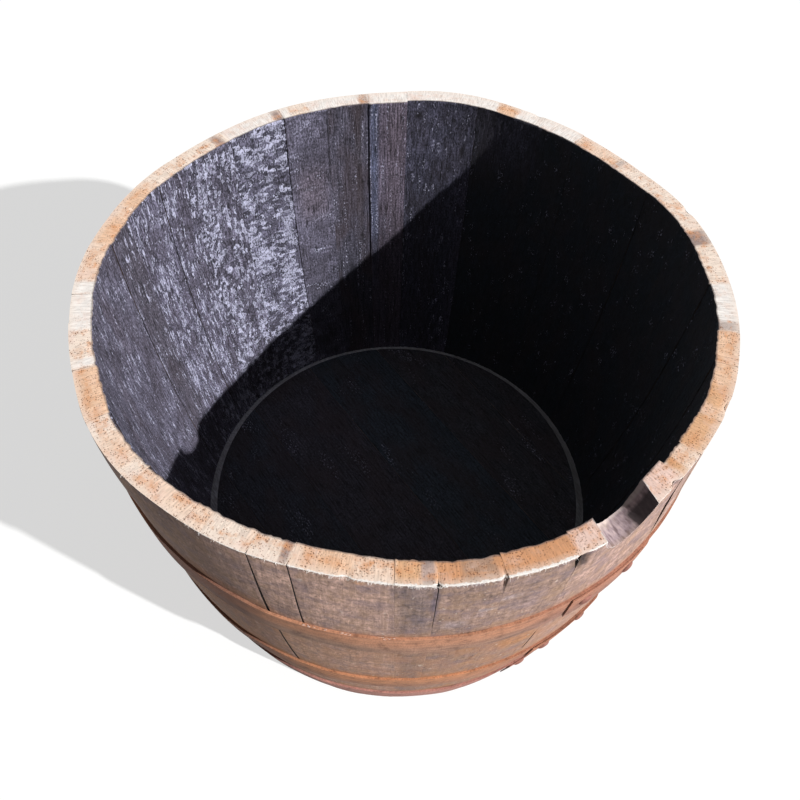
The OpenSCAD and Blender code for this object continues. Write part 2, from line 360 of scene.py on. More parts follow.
# Short names for the kinds of node used most, with their settings
KINDS = {
    "map": ("ShaderNodeMapRange", {}), "noise": ("ShaderNodeTexNoise", {}),
    "cells": ("ShaderNodeTexVoronoi", {}), "ramp": ("ShaderNodeValToRGB", {}),
    "split": ("ShaderNodeSeparateXYZ", {}), "join": ("ShaderNodeCombineXYZ", {}),
    "bump": ("ShaderNodeBump", {}), "mapping": ("ShaderNodeMapping", {}),
    "coordinates": ("ShaderNodeTexCoord", {}), "group": ("GeometryNodeGroup", {}),
    "blend": ("ShaderNodeMix", {}), "mix": ("ShaderNodeMix", {"data_type": "RGBA"}),
    "field": ("GeometryNodeInputNamedAttribute", {"data_type": "FLOAT"}),
    "vector_field": ("GeometryNodeInputNamedAttribute", {"data_type": "FLOAT_VECTOR"}),
}
for way in ("add", "subtract", "multiply", "divide", "multiply_add", "maximum", "sqrt", "cosine", "sine",
            "less_than", "greater_than"):
    KINDS[way] = ("ShaderNodeMath", {"operation": way.upper()})
for way in ("add", "multiply", "multiply_add", "scale"):
    KINDS["vector_" + way] = ("ShaderNodeVectorMath", {"operation": way.upper()})


def add(tree, kind, *values, stops=(), **named):
    """Adds one node. Values go to its inputs in order; a capital names an input, other names are settings."""
    kind, settings = KINDS.get(kind, (kind, {}))
    node = tree.nodes.new(kind)
    inputs = {name: value for name, value in named.items() if name[0].isupper()}
    for name, value in {**settings, **named}.items():
        if name not in inputs:
            setattr(node, name, value)
    for number, (at, tint) in enumerate(stops):
        ramp = node.color_ramp.elements
        if number == len(ramp):
            ramp.new(at)
        ramp[number].position, ramp[number].color = at, tint
    feed(tree, node, *values, **inputs)
    return node


def feed(tree, node, *values, **named):
    """Gives a node's inputs, in order or by name, a value or a link from a node or socket."""
    ready = [s for s in node.inputs if s.enabled]
    chosen = [next(s for s in ready if s.name == name.replace("_", " ")) for name in named]
    for socket, value in zip(ready[:len(values)] + chosen, (*values, *named.values())):
        if isinstance(value, bpy.types.Node):
            value = next(s for s in value.outputs if s.enabled)
        if isinstance(value, bpy.types.NodeSocket):
            tree.links.new(value, socket)
        else:
            socket.default_value = value


def product(tree, first, *others):
    """The product of several numbers."""
    for other in others:
        first = add(tree, "multiply", first, other)
    return first


def total(tree, start, *parts):
    """A number with others added to it, each times its own weight."""
    for value, weight in parts:
        start = add(tree, "multiply_add", value, weight, start)
    return start


def stretched(tree, pattern, across, through, along, **named):
    """Noise on a pattern, with its cells per metre in each direction."""
    place = add(tree, "vector_multiply", pattern, (across, through, along))
    return add(tree, "noise", place, 1.0, **{"Detail": 4.0, **named})


def new_tree(name, inputs, outputs=(("Geometry", "Geometry"),)):
    """An empty geometry node tree with named inputs and outputs, what it is given, and its end."""
    tree = bpy.data.node_groups.new(name, "GeometryNodeTree")
    for way, sockets in (("INPUT", inputs), ("OUTPUT", outputs)):
        for label, kind in sockets:
            tree.interface.new_socket(label, in_out=way, socket_type="NodeSocket" + kind)
    return tree, tree.nodes.new("NodeGroupInput").outputs, tree.nodes.new("NodeGroupOutput")


def settle(piece):
    """Gives a piece the plain mesh that its modifiers make."""
    graph = bpy.context.evaluated_depsgraph_get()
    mesh = bpy.data.meshes.new_from_object(piece.evaluated_get(graph), depsgraph=graph)
    plain = piece.data
    piece.modifiers.clear()
    piece.data = mesh
    mesh.name = piece.name
    bpy.data.meshes.remove(plain)


def with_nodes(piece, tree, **inputs):
    """Runs a tree on a piece, with inputs named in lower case, and keeps the plain mesh."""
    modifier = piece.modifiers.new(tree.name, "NODES")
    modifier.node_group = tree
    for item in tree.interface.items_tree:
        key = item.name.lower().replace(" ", "_")
        if item.in_out == "INPUT" and key in inputs:
            modifier[item.identifier] = inputs[key]
    settle(piece)


def discard(piece):
    """Removes a piece that was only a tool, with its mesh."""
    mesh = piece.data
    bpy.data.objects.remove(piece)
    bpy.data.meshes.remove(mesh)


# What an attribute holds goes by its name; one that isn't here holds plain numbers
HOLDS = {
    "tone": ("FLOAT_COLOR", "color"), "zone": ("INT", "value"),
    **dict.fromkeys(("side", "char", "cell", "pattern", "facing"), ("FLOAT_VECTOR", "vector")),
}


def mark(mesh, attributes):
    """Gives a mesh its attributes by name: the zone to its faces, and the others to its points."""
    for label, values in attributes.items():
        kind, field = HOLDS.get(label, ("FLOAT", "value"))
        layer = mesh.attributes.new(label, kind, "FACE" if label == "zone" else "POINT")
        numbers = np.asarray(values, np.int32 if kind == "INT" else np.float32)
        layer.data.foreach_set(field, numbers.ravel())


def new_piece(name, points, faces, attributes=None):
    """A mesh object from points and faces, with its attributes."""
    mesh = bpy.data.meshes.new(name)
    mesh.from_pydata(np.asarray(points).tolist(), [], faces if isinstance(faces, list) else faces.tolist())
    mark(mesh, attributes or {})
    piece = bpy.data.objects.new(name, mesh)
    bpy.context.scene.collection.objects.link(piece)
    return piece


def keep(piece, slot, *nodes):
    """Smooths a finished piece, ties it to the body and hides the CAD nodes it stands for; the slot is not
    used.
    """
    piece.data.polygons.foreach_set("use_smooth", [True] * len(piece.data.polygons))
    piece.data.set_sharp_from_angle(angle=math.radians(55))
    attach(piece, BODY)
    if nodes:
        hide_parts(*nodes)


def skin(cells):
    """The skin of a block of cells: its points as i, j, k, its outward quads and their sides."""
    shape = [c + 1 for c in cells]
    at = np.indices(shape).reshape(3, -1).T
    at = at[((at == 0) | (at == cells)).any(1)]
    number = np.full(shape, -1)
    number[tuple(at.T)] = np.arange(len(at))
    quads, sides = [], []
    for axis in range(3):
        for end in (0, 1):
            face = np.take(number, -end, axis)
            quad = np.stack((face[:-1, :-1], face[1:, :-1], face[1:, 1:], face[:-1, 1:]), -1).reshape(-1, 4)
            quads.append(quad[:, ::-1] if (end == 0) != (axis == 1) else quad)
            sides.append(np.full(len(quad), 2 * axis + end))
    return at, np.concatenate(quads), np.concatenate(sides)


def drop(away, radius):
    """How far a rounded edge lies below its face, at a distance from that edge."""
    bend = radius * (1 - np.sqrt(1 - np.clip(1 - away / radius, 0, 1) ** 2))
    # The edge itself moves to the middle of its curve
    return np.where(away < TOUCH, 0.29 * radius, bend)


def smooth(value, low, high):
    """A soft step from 0 at low to 1 at high."""
    t = np.clip((value - low) / (high - low), 0, 1)
    return t * t * (3 - 2 * t)


def folded(turn):
    """Turns brought to between half a turn back and half a turn on."""
    return (turn + np.pi) % (2 * np.pi) - np.pi


def spot(turn, z, at, height, wide, tall, power):
    """A soft round spot on the barrel: 1 in its middle, with its place in degrees and mm."""
    off = folded(turn - math.radians(at))
    return np.exp(-(off * RIM_R / (wide * MM)) ** power - ((z - height * MM) / (tall * MM)) ** power)


def spaced(length, step, fine):
    """Places from 0 to length, with fine spacing near both ends."""
    ends = np.array(fine)
    middle = np.linspace(fine[-1], length - fine[-1], max(2, round((length - 2 * fine[-1]) / step)) + 1)
    return np.concatenate((ends[:-1], middle, length - ends[-2::-1]))


def rim_ease(turn):
    """How far the rim stands out of a true circle at a turn."""
    places = np.radians(np.arange(len(RIM_EASES)) * 360 / len(RIM_EASES))
    near = folded(turn[:, None] - places)
    weight = np.exp(-(near / math.radians(11)) ** 2)
    return (weight * np.array(RIM_EASES)).sum(1) / weight.sum(1) * MM


# ---------------------------------------------------------------- shared node trees

GEOMETRY, CHAR_DEPTH = ("Geometry", "Geometry"), ("Char Depth", "Float")
BENDING = (("Rim Radius", "Float"), ("Bend Radius", "Float"), ("Rim Height", "Float"))


def bend_tree():
    """Bends a flat layout round the barrel: X becomes a turn, Y goes in, Z stays up."""
    tree, given, out = new_tree(
        "Bend round the barrel", (("Flat", "Vector"), *BENDING), [("Position", "Vector")])
    flat = add(tree, "split", given["Flat"]).outputs
    below = add(tree, "subtract", given["Rim Height"], flat["Z"])
    squares = [product(tree, length, length) for length in (given["Bend Radius"], below)]
    arc = add(tree, "sqrt", add(tree, "subtract", *squares))
    middle = add(tree, "subtract", given["Rim Radius"], given["Bend Radius"])
    radius = add(tree, "subtract", add(tree, "add", middle, arc), flat["Y"])
    turn = add(tree, "divide", flat["X"], given["Rim Radius"])
    x, y = (product(tree, add(tree, way, turn), radius) for way in ("cosine", "sine"))
    feed(tree, out, add(tree, "join", x, y, flat["Z"]))
    return tree


def char_cells(tree, pattern, cell):
    """The pads of burnt oak: nodes that give each pad its own chances, and the way to its edge."""
    place = add(tree, "vector_multiply", pattern, cell)
    warp = add(tree, "noise", place, 1.1, 5.0, 0.75).outputs["Color"]
    place = add(tree, "vector_multiply_add", warp, (2.2, 2.2, 2.2), place)
    pad = add(tree, "cells", place, 1.0).outputs["Color"]
    edge = add(tree, "cells", place, 1.0, feature="DISTANCE_TO_EDGE")
    return add(tree, "split", pad).outputs, edge


def char_tree():
    """The relief of burnt oak: pads that stand up between cracks, on a pattern with Z along the grain."""
    tree, given, out = new_tree("Char relief", (("Pattern", "Vector"), CHAR_DEPTH), [("Relief", "Float")])
    pad, edge = char_cells(tree, given["Pattern"], add(tree, "vector_field", "cell"))
    crack = add(tree, "map", edge, 0.0, 0.2, 0.5, 0.0, interpolation_type="SMOOTHSTEP")
    grain = stretched(tree, given["Pattern"], 120.0, 0.0, 26.0, Detail=2.0)
    sunk = add(tree, "add", total(tree, crack, (pad["Y"], -0.6), (grain, -0.5)), 1.0)
    feed(tree, out, product(tree, sunk, given["Char Depth"]))
    return tree


def bend_and_finish(tree, given, out, geometry, flat, moved, bend, finishes):
    """Ends a tree: moves the flat layout, bends it round the barrel and gives each zone its finish."""
    moved = add(tree, "vector_add", flat, moved)
    bent = add(tree, "group", moved, *(given[label] for label, _ in BENDING), node_tree=bend)
    shaped = add(tree, "GeometryNodeSetPosition", Geometry=geometry, Position=bent)
    finish_by_zone(tree, shaped, finishes, out)


def stave_tree(bend, char, finishes):
    """Weathers the outside, saws the rim and chars the inside of a flat stave, then bends it."""
    tree, given, out = new_tree("Stave", (
        GEOMETRY, *BENDING, ("Grain Depth", "Float"), ("Saw Depth", "Float"), CHAR_DEPTH, ("Seed", "Float")))
    flat = add(tree, "GeometryNodeInputPosition")
    side = add(tree, "split", add(tree, "vector_field", "side")).outputs
    shift = add(tree, "vector_scale", (0.31, 0.0, 1.7), given["Seed"])
    pattern = add(tree, "vector_add", flat, shift)
    marked = add(tree, "GeometryNodeStoreNamedAttribute", data_type="FLOAT_VECTOR",
                 Geometry=given["Geometry"], Name="pattern", Value=pattern)
    # Outside: fine grain on top of slow waves of wear, flush with its neighbours at the joints
    lines = stretched(tree, pattern, 430.0, 0.0, 13.0, Detail=3.0)
    waves = stretched(tree, pattern, 30.0, 0.0, 7.0, Detail=2.0)
    worn = add(tree, "blend", add(tree, "field", "calm"), total(tree, lines, (waves, 1.6)), 1.3)
    outside = add(tree, "less_than", side["Y"], -0.5)
    worn = product(tree, worn, given["Grain Depth"], outside)
    # Inside: burnt pads
    burnt = add(tree, "group", pattern, given["Char Depth"], node_tree=char)
    eaten = product(tree, burnt, add(tree, "greater_than", side["Y"], 0.5))
    across = add(tree, "subtract", worn, eaten)
    # Rim: the marks of a coarse saw
    saw = stretched(tree, pattern, 160.0, 420.0, 0.0, Detail=2.0)
    top = add(tree, "greater_than", side["Z"], 0.5)
    sawn = product(tree, saw, given["Saw Depth"], top, -1.0)
    moved = add(tree, "join", 0.0, across, sawn)
    bend_and_finish(tree, given, out, marked, flat, moved, bend, finishes)
    return tree


def finish_by_zone(tree, shaped, finishes, out):
    """Ends a tree: plain geometry, with one finish for each number of the zone attribute."""
    last = add(tree, "GeometryNodeRealizeInstances", shaped)
    zone = add(tree, "GeometryNodeInputNamedAttribute", "zone", data_type="INT")
    for number, finish in enumerate(finishes):
        chosen = add(tree, "FunctionNodeCompare", zone, number, data_type="INT", operation="EQUAL")
        last = add(tree, "GeometryNodeSetMaterial", last, chosen, finish)
    feed(tree, out, last)


# ---------------------------------------------------------------- finishes

def new_finish(name):
    """A new material and its node tree."""
    finish = bpy.data.materials.new(name)
    finish.use_nodes = True
    return finish, finish.node_tree


def settle_finish(finish, tint, roughness, gloss, height=None, strength=0.5, depth=0.5, **more):
    """Gives a finish its colour, roughness and sheen, and a fine relief with its depth in mm."""
    tree = finish.node_tree
    shader = next(n for n in tree.nodes if n.type == "BSDF_PRINCIPLED")
    feed(tree, shader, Base_Color=tint, Roughness=roughness, Specular_IOR_Level=gloss, **more)
    if height:
        bump = add(tree, "bump", Height=height, Strength=strength, Distance=depth * MM)
        feed(tree, shader, Normal=bump)
    return finish


def carried(tree, **kinds):
    """Outputs of attributes that a piece carries, by name and kind."""
    return [add(tree, "ShaderNodeAttribute", attribute_name=n).outputs[kind] for n, kind in kinds.items()]


def spread(tree, noise, lowest, highest):
    """Noise made to run between two factors."""
    return add(tree, "map", noise, 0.34, 0.66, lowest, highest)


def tinted(tree, under, over, value, low, high, most=1.0):
    """Lays a colour over another: its share grows from 0 to most as a value goes from low to high."""
    much = add(tree, "map", value, low, high, 0.0, most)
    return add(tree, "mix", much, under, over)


def torn_lip(tree, colours, wood):
    """Turns a wood's colour white where the saw has torn the rim's outer edge."""
    at = add(tree, "coordinates").outputs["Object"]
    torn, lip = carried(tree, torn="Fac", lip="Fac")
    ragged = add(tree, "noise", at, 260.0, 4.0, 0.7)
    reach = product(tree, add(tree, "map", ragged, 0.3, 0.7, 0.3, 1.6), torn)
    left = add(tree, "subtract", reach, lip)
    return tinted(tree, wood, colours.torn, left, -0.3 * MM, 0.4 * MM, 0.95)


def seen_directly(tree):
    """1 for what the camera, a reflection or a view through glass shows, and 0 for light itself."""
    light = add(tree, "ShaderNodeLightPath").outputs
    seen = add(tree, "maximum", light["Is Camera Ray"], light["Is Glossy Ray"])
    return add(tree, "maximum", seen, light["Is Transmission Ray"])


def weathered_oak(colours):
    """Oak left outdoors: matt grey-brown, with fine grain, scratches across it and rust from the hoops."""
    finish, tree = new_finish("weathered_oak")
    pattern, tone = carried(tree, pattern="Vector", tone="Color")
    # Grain lines 4 mm apart and 60 mm long, scratches 8 mm high and 90 mm wide, and crumbs
    # 5 by 7 mm, all coarser than the real ones so that they show
    grain = stretched(tree, pattern, 240.0, 0.0, 16.0, Roughness=0.7, Distortion=0.8)
    scratch = stretched(tree, pattern, 11.0, 0.0, 125.0, Roughness=0.75, Distortion=1.5)
    crumb = stretched(tree, pattern, 210.0, 0.0, 150.0, Detail=5.0, Roughness=0.8, Distortion=0.6)
    # Patches of wear about 30 mm wide and 40 mm high
    patch = stretched(tree, pattern, 32.0, 0.0, 24.0, Roughness=0.7)
    much = product(tree, spread(tree, grain, 0.78, 1.19), spread(tree, scratch, 0.77, 1.21),
                   spread(tree, crumb, 0.49, 1.57), spread(tree, patch, 0.82, 1.17))
    wood = add(tree, "vector_scale", tone, much)
    # Some of it has gone mauve-grey in the rain, and some is still tan
    for hue, across, along, most in (("7d6f79", 30.0, 70.0, 0.55), ("b4916f", 50.0, 30.0, 0.3)):
        turned = stretched(tree, pattern, across, 9.0, along, Roughness=0.7)
        wood = tinted(tree, wood, linear(hue), turned, 0.46, 0.62, most)
    # Rust has run a few millimetres past each hoop's edges: how strong it is, up the wood
    up = add(tree, "split", add(tree, "coordinates").outputs["Object"]).outputs["Z"]
    near = add(tree, "ramp", add(tree, "divide", up, RIM_Z), stops=[
        (at, (most, most, most, 1.0)) for at, most in (
            (0.0, 0.9), (0.13, 0.9), (0.2, 0.55), (0.235, 0.6), (0.262, 0.85), (0.37, 1.0), (0.41, 0.65),
            (0.5, 0.42), (0.6, 0.62), (0.645, 0.9), (0.742, 0.6), (0.77, 0.12), (1.0, 0.0))])
    stain = product(tree, near, add(tree, "map", patch, 0.3, 0.64))
    wood = add(tree, "mix", stain, wood, colours.rust_stain)
    # Small dark spots and pale scuffs, 3 to 8 mm wide
    fleck = stretched(tree, pattern, 190.0, 0.0, 130.0, Roughness=0.5)
    wood = tinted(tree, wood, linear("54464a"), fleck, 0.64, 0.7, 0.7)
    wood = tinted(tree, wood, linear("d9c8bd"), fleck, 0.35, 0.3, 0.6)
    wood = torn_lip(tree, colours, wood)
    height = total(tree, grain, (scratch, 0.5), (crumb, 0.7))
    return settle_finish(finish, wood, 0.86, 0.25, height, 0.5, 0.6)


def sawn_oak(colours):
    """Oak sawn across the grain: pale, with peach blotches, open pores in rows and a white torn lip."""
    finish, tree = new_finish("sawn_end_grain_oak")
    pattern, tone, lip, inward = carried(tree, pattern="Vector", tone="Color", lip="Fac", inward="Fac")
    # Growth rings 3 mm apart lie across the stave
    ring = stretched(tree, pattern, 330.0, 40.0, 0.0, Detail=2.0)
    blotch = stretched(tree, pattern, 62.0, 85.0, 0.0, Roughness=0.66)
    # The blotches are strongest in the middle, away from both edges
    out = add(tree, "map", lip, 1 * MM, 9 * MM, 0.3)
    back = add(tree, "map", inward, 0.0, 5 * MM, 0.35)
    warm = add(tree, "map", blotch, 0.47, 0.64, 0.0, 0.8)
    warm = product(tree, warm, product(tree, out, back), add(tree, "map", ring, 0.35, 0.65, 0.6, 1.15))
    # Pale staves have few of them, and few pores that show
    blue = add(tree, "ShaderNodeSeparateColor", tone).outputs["Blue"]
    few = add(tree, "map", blue, 0.7, 0.85, 1.0, 0.3)
    warm = product(tree, warm, few)
    rose = stretched(tree, pattern, 45.0, 60.0, 9.0, Roughness=0.6)
    # Fine marks of the saw's teeth across the stave, 1.6 mm apart
    tooth = stretched(tree, pattern, 620.0, 90.0, 0.0, Detail=2.0)
    worn = add(tree, "vector_scale", tone, spread(tree, tooth, 0.82, 1.12))
    for away, reach, most in ((lip, 8 * MM, 0.6), (inward, 2.5 * MM, 0.35)):
        worn = tinted(tree, worn, linear("fbeadc"), away, reach, 0.5 * MM, most)
    worn = tinted(tree, worn, linear(RIM_TONES["pink"]), rose, 0.52, 0.72, 0.5)
    worn = add(tree, "mix", warm, worn, colours.blotch)
    # Pores drawn 1.1 mm wide, three times their real size, so that they show
    pore = add(tree, "cells", add(tree, "vector_multiply", pattern, (500.0, 580.0, 0.0)), 1.0)
    pore = product(
        tree, add(tree, "map", pore, 0.18, 0.4, 0.95, 0.0), add(tree, "map", ring, 0.38, 0.5),
        add(tree, "map", blotch, 0.4, 0.56, 0.45), few)
    worn = add(tree, "mix", pore, worn, colours.pore)
    # The fire has browned a line about 2 mm wide along the inner edge
    bite = add(tree, "multiply_add", blotch, 2.6 * MM, 0.8 * MM)
    scorch = add(tree, "subtract", inward, bite)
    worn = tinted(tree, worn, colours.char_warm, scorch, 0.6 * MM, -0.9 * MM, 0.7)
    worn = torn_lip(tree, colours, worn)
    return settle_finish(finish, worn, 0.8, 0.25, total(tree, tooth, (pore, -0.7)), 0.4, 0.4)


def charred_oak(colours):
    """Oak burnt inside by flame: black and matt, with silky grey streaks and pale flakes that have lifted,
    their brightness partly painted sheen.
    """
    finish, tree = new_finish("charred_oak")
    pattern, tone, style, cell = carried(tree, pattern="Vector", tone="Color", char="Vector", cell="Vector")
    # The shares of lifted pads, of contrast and of brown warmth
    lifted, contrast, warmth = add(tree, "split", style).outputs
    # The same pads as the relief has
    pad, edge = char_cells(tree, pattern, cell)
    patch = stretched(tree, pattern, 26.0, 0.0, 16.0, Detail=2.0)
    # Crumbs and grain lines about 2.2 mm apart, twice as coarse as the real ones
    crumb = stretched(tree, pattern, 560.0, 0.0, 300.0, Roughness=0.6)
    grain = stretched(tree, pattern, 460.0, 0.0, 46.0, Roughness=0.6)
    own = add(tree, "map", pad["X"], 0.0, 1.0, -0.6, 0.6)
    lively = spread(tree, crumb, 0.42, 1.58)
    dim = product(tree, add(tree, "multiply_add", own, contrast, 1.0), spread(tree, patch, 0.84, 1.13),
                  spread(tree, grain, 0.52, 1.45), lively)
    char = add(tree, "vector_scale", tone, dim)
    brown = product(tree, add(tree, "map", patch, 0.56, 0.4, 0.0, 0.9), warmth)
    char = add(tree, "mix", brown, char, colours.char_warm)
    # Pads that have lifted catch the light, in clusters: their pale colour is partly painted sheen
    some = add(tree, "map", patch, 0.4, 0.6, 0.3, 1.2)
    some = total(tree, pad["Y"], (some, lifted), (crumb, 1.1))
    shine = product(tree, add(tree, "multiply_add", pad["Z"], 0.6, 0.36), lively)
    flake = add(tree, "multiply", add(tree, "map", some, 1.59, 1.74), shine, use_clamp=True)
    char = add(tree, "mix", flake, char, colours.char_flake_sheen)
    # Cracks round the pads, and fine ones along the grain
    crack = add(tree, "map", edge, 0.03, 0.13, 0.95, 0.0)
    crack = product(tree, crack, add(tree, "map", crumb, 0.56, 0.46), contrast)
    crack = add(tree, "maximum", crack, add(tree, "map", grain, 0.43, 0.34, 0.0, 0.8))
    char = add(tree, "mix", crack, char, colours.char_deep)
    rough = add(tree, "map", flake, 0.0, 1.0, 0.75, 0.5)
    height = total(tree, crumb, (grain, 0.7), (pad["Y"], 0.7), (crack, -0.8))
    return settle_finish(finish, char, rough, 0.2, height, 0.6, 0.7)


def bare_oak(name, base, dark):
    """Split or planed oak that has not been burnt or weathered: matt, with short darker grain lines."""
    finish, tree = new_finish(name)
    pattern, = carried(tree, pattern="Vector")
    grain = stretched(tree, pattern, 640.0, 200.0, 22.0, Detail=3.0)
    patch = stretched(tree, pattern, 40.0, 40.0, 20.0)
    wood = tinted(tree, dark, base, grain, 0.38, 0.62)
    wood = tinted(tree, wood, dark, patch, 0.4, 0.7, 0.6)
    return settle_finish(finish, wood, 0.85, 0.3, grain)


def bored_oak():
    """The wall of the bung hole: oak reamed smooth by a hot iron, mauve, with one patch rubbed bare and a
    painted shadow on its far side.
    """
    finish, tree = new_finish("bored_bung_hole_oak")
    at = add(tree, "coordinates").outputs["Object"]
    turned = add(tree, "mapping", at, Rotation=(0.0, 0.0, -BUNG_TURN))
    out, side, _ = add(tree, "split", turned).outputs
    fine = stretched(tree, turned, 120.0, 300.0, 300.0)
    patch = stretched(tree, turned, 70.0, 90.0, 90.0)
    wood = add(tree, "ramp", fine, stops=[
        (0.34, linear("7f6b6c")), (0.5, linear("ac979b")), (0.66, linear("cbb4b3"))])
    # Ochre towards the outer edge, bare and pink at the lower inner corner
    wood = tinted(tree, wood, linear("b3977e"), out, 0.318, 0.326, 0.55)
    bare = product(tree, add(tree, "map", side, 2 * MM, -8 * MM), add(tree, "map", out, 0.31, 0.303),
                   add(tree, "map", patch, 0.34, 0.5))
    wood = add(tree, "mix", bare, wood, linear("f3dcd0"))
    # The bit left a pale line along the inner edge
    wood = tinted(tree, wood, linear("e6d6d0"), out, 0.3035, 0.3015, 0.6)
    # Painted shadow: the hole's right end casts a shadow over the far side, darkest towards the outer edge
    far = add(tree, "map", total(tree, side, (patch, 8 * MM)), 12 * MM, 15 * MM)
    far = product(tree, far, add(tree, "map", out, 0.306, 0.309, 0.35, 0.92))
    wood = add(tree, "mix", far, wood, linear("352d2f"))
    return settle_finish(finish, wood, 0.8, 0.3, fine, 0.3, 0.4)


def rusted_steel(name, colours):
    """Mild steel strip, hot rolled and rusted for decades: matt orange-tan bloom over brown scale, pitted."""
    finish, tree = new_finish(name)
    at = add(tree, "coordinates").outputs["Object"]
    bloom, = carried(tree, tone="Color")
    scale = add(tree, "noise", at, 75.0, 6.0, 0.68)
    scrape = stretched(tree, at, 18.0, 18.0, 300.0)
    much = add(tree, "map", total(tree, scale, (scrape, 0.9)), 0.62, 1.25, 0.6, 1.3)
    tint = add(tree, "vector_scale", bloom, much)
    # Old scale shows through in patches, and pits are about 1.5 mm across
    tint = tinted(tree, tint, colours.rust_dark, scale, 0.44, 0.32, 0.5)
    pit = add(tree, "map", add(tree, "cells", at, 520.0), 0.15, 0.6)
    tint = tinted(tree, tint, colours.rust_dark, pit, 1.0, 0.0, 0.35)
    return settle_finish(finish, tint, 0.85, 0.3, total(tree, scale, (pit, 0.4)), 0.6)


def torn_oak(colours):
    """Raw oak fibres torn up by the saw: almost white, matt, tinted by the wood here and there."""
    finish, tree = new_finish("torn_oak_fibre")
    grain = add(tree, "noise", add(tree, "coordinates").outputs["Object"], 160.0, 3.0)
    tint = add(tree, "ramp", grain, stops=[
        (0.3, linear("e3cdb9")), (0.5, colours.torn), (0.7, linear("ffffff"))])
    return settle_finish(finish, tint, 0.9, 0.2)


def dowel_oak(colours):
    """Clean split oak, with its grain along the dowels, which lie across the boards: smooth and tan."""
    finish, tree = new_finish("split_dowel_oak")
    at = add(tree, "coordinates").outputs["Object"]
    turned = add(tree, "mapping", at, Rotation=(0.0, 0.0, -HEAD_TURN))
    grain = stretched(tree, turned, 40.0, 700.0, 700.0, Detail=3.0)
    tint = add(tree, "ramp", grain, stops=[(0.35, linear("8d6b4a")), (0.65, colours.dowel_wood)])
    return settle_finish(finish, tint, 0.75, 0.5, grain, 0.4, 0.3)


# ---------------------------------------------------------------- pieces

# The bung hole: where its stave lies, how far it lies from the stave's middle, and its skew
BUNG_TURN, BUNG_OFF, BUNG_SKEW = math.radians(-53), -3.5 * MM, math.radians(-11)
# A stave of the visual model is this much wider at each joint than the CAD one
JOINT_FILL = 0.3 * MM


def stave_span(name):
    """Where a CAD stave starts and ends round the barrel, and how thick it is at the rim."""
    at = points_of(name)
    turn = np.arctan2(at[:, 1], at[:, 0])
    middle = math.atan2(np.sin(turn).mean(), np.cos(turn).mean())
    off = folded(turn - middle)
    inner, outer = reach_of(name, RIM_Z, RIM_Z)
    return middle + off.min(), middle + off.max(), round((outer - inner) * 2000) / 2000


def inner_rows(thick, step):
    """Heights and radii of a stave's inner face from the foot up, with the groove for the head."""
    low, high = HEAD_MID - GROOVE_HALF, HEAD_MID + GROOVE_HALF
    deep = MOUTH_R + GROOVE_DEPTH
    corners = [(0, FOOT_INNER_R), (low, MOUTH_R), (low, deep), (high, deep), (high, MOUTH_R),
               (PLANED_TOP, wall(PLANED_TOP) - STAVE_T), (SWELL_TOP, wall(SWELL_TOP) - thick)]
    rows = []
    for a, b in zip(corners, corners[1:]):
        count = max(2, math.ceil(math.dist(a, b) / step))
        rows.extend(np.linspace(a, b, count, endpoint=False))
    rise = np.linspace(SWELL_TOP, RIM_Z - 3.4 * MM, round((RIM_Z - SWELL_TOP) / step))
    rise = np.concatenate((rise, RIM_Z - np.array((1.7, 0.6, 0)) * MM))
    rows.extend(np.stack((rise, wall(rise) - thick), 1))
    return np.array(rows).T


def paint(tone, chosen, turn, z, marks):
    """Blends soft marks into the tones of the chosen points."""
    for *place, much, code in marks:
        soft = (much * spot(turn, z, *place, 4) * chosen)[:, None]
        tone += soft * (np.array(linear(code)) - tone)


def rim_tones(number, part):
    """A stave's rim tones at places from 0 to 1 across it."""
    name, strip, start, end = STAVES[number][:4]
    tone = np.tile(linear(RIM_TONES[name]), (len(part), 1))
    if strip:
        share_strip = smooth(part, start - 0.05, start + 0.05) * smooth(part, end + 0.05, end - 0.05)
        tone += share_strip[:, None] * (np.array(linear(RIM_TONES[strip])) - tone)
    return tone


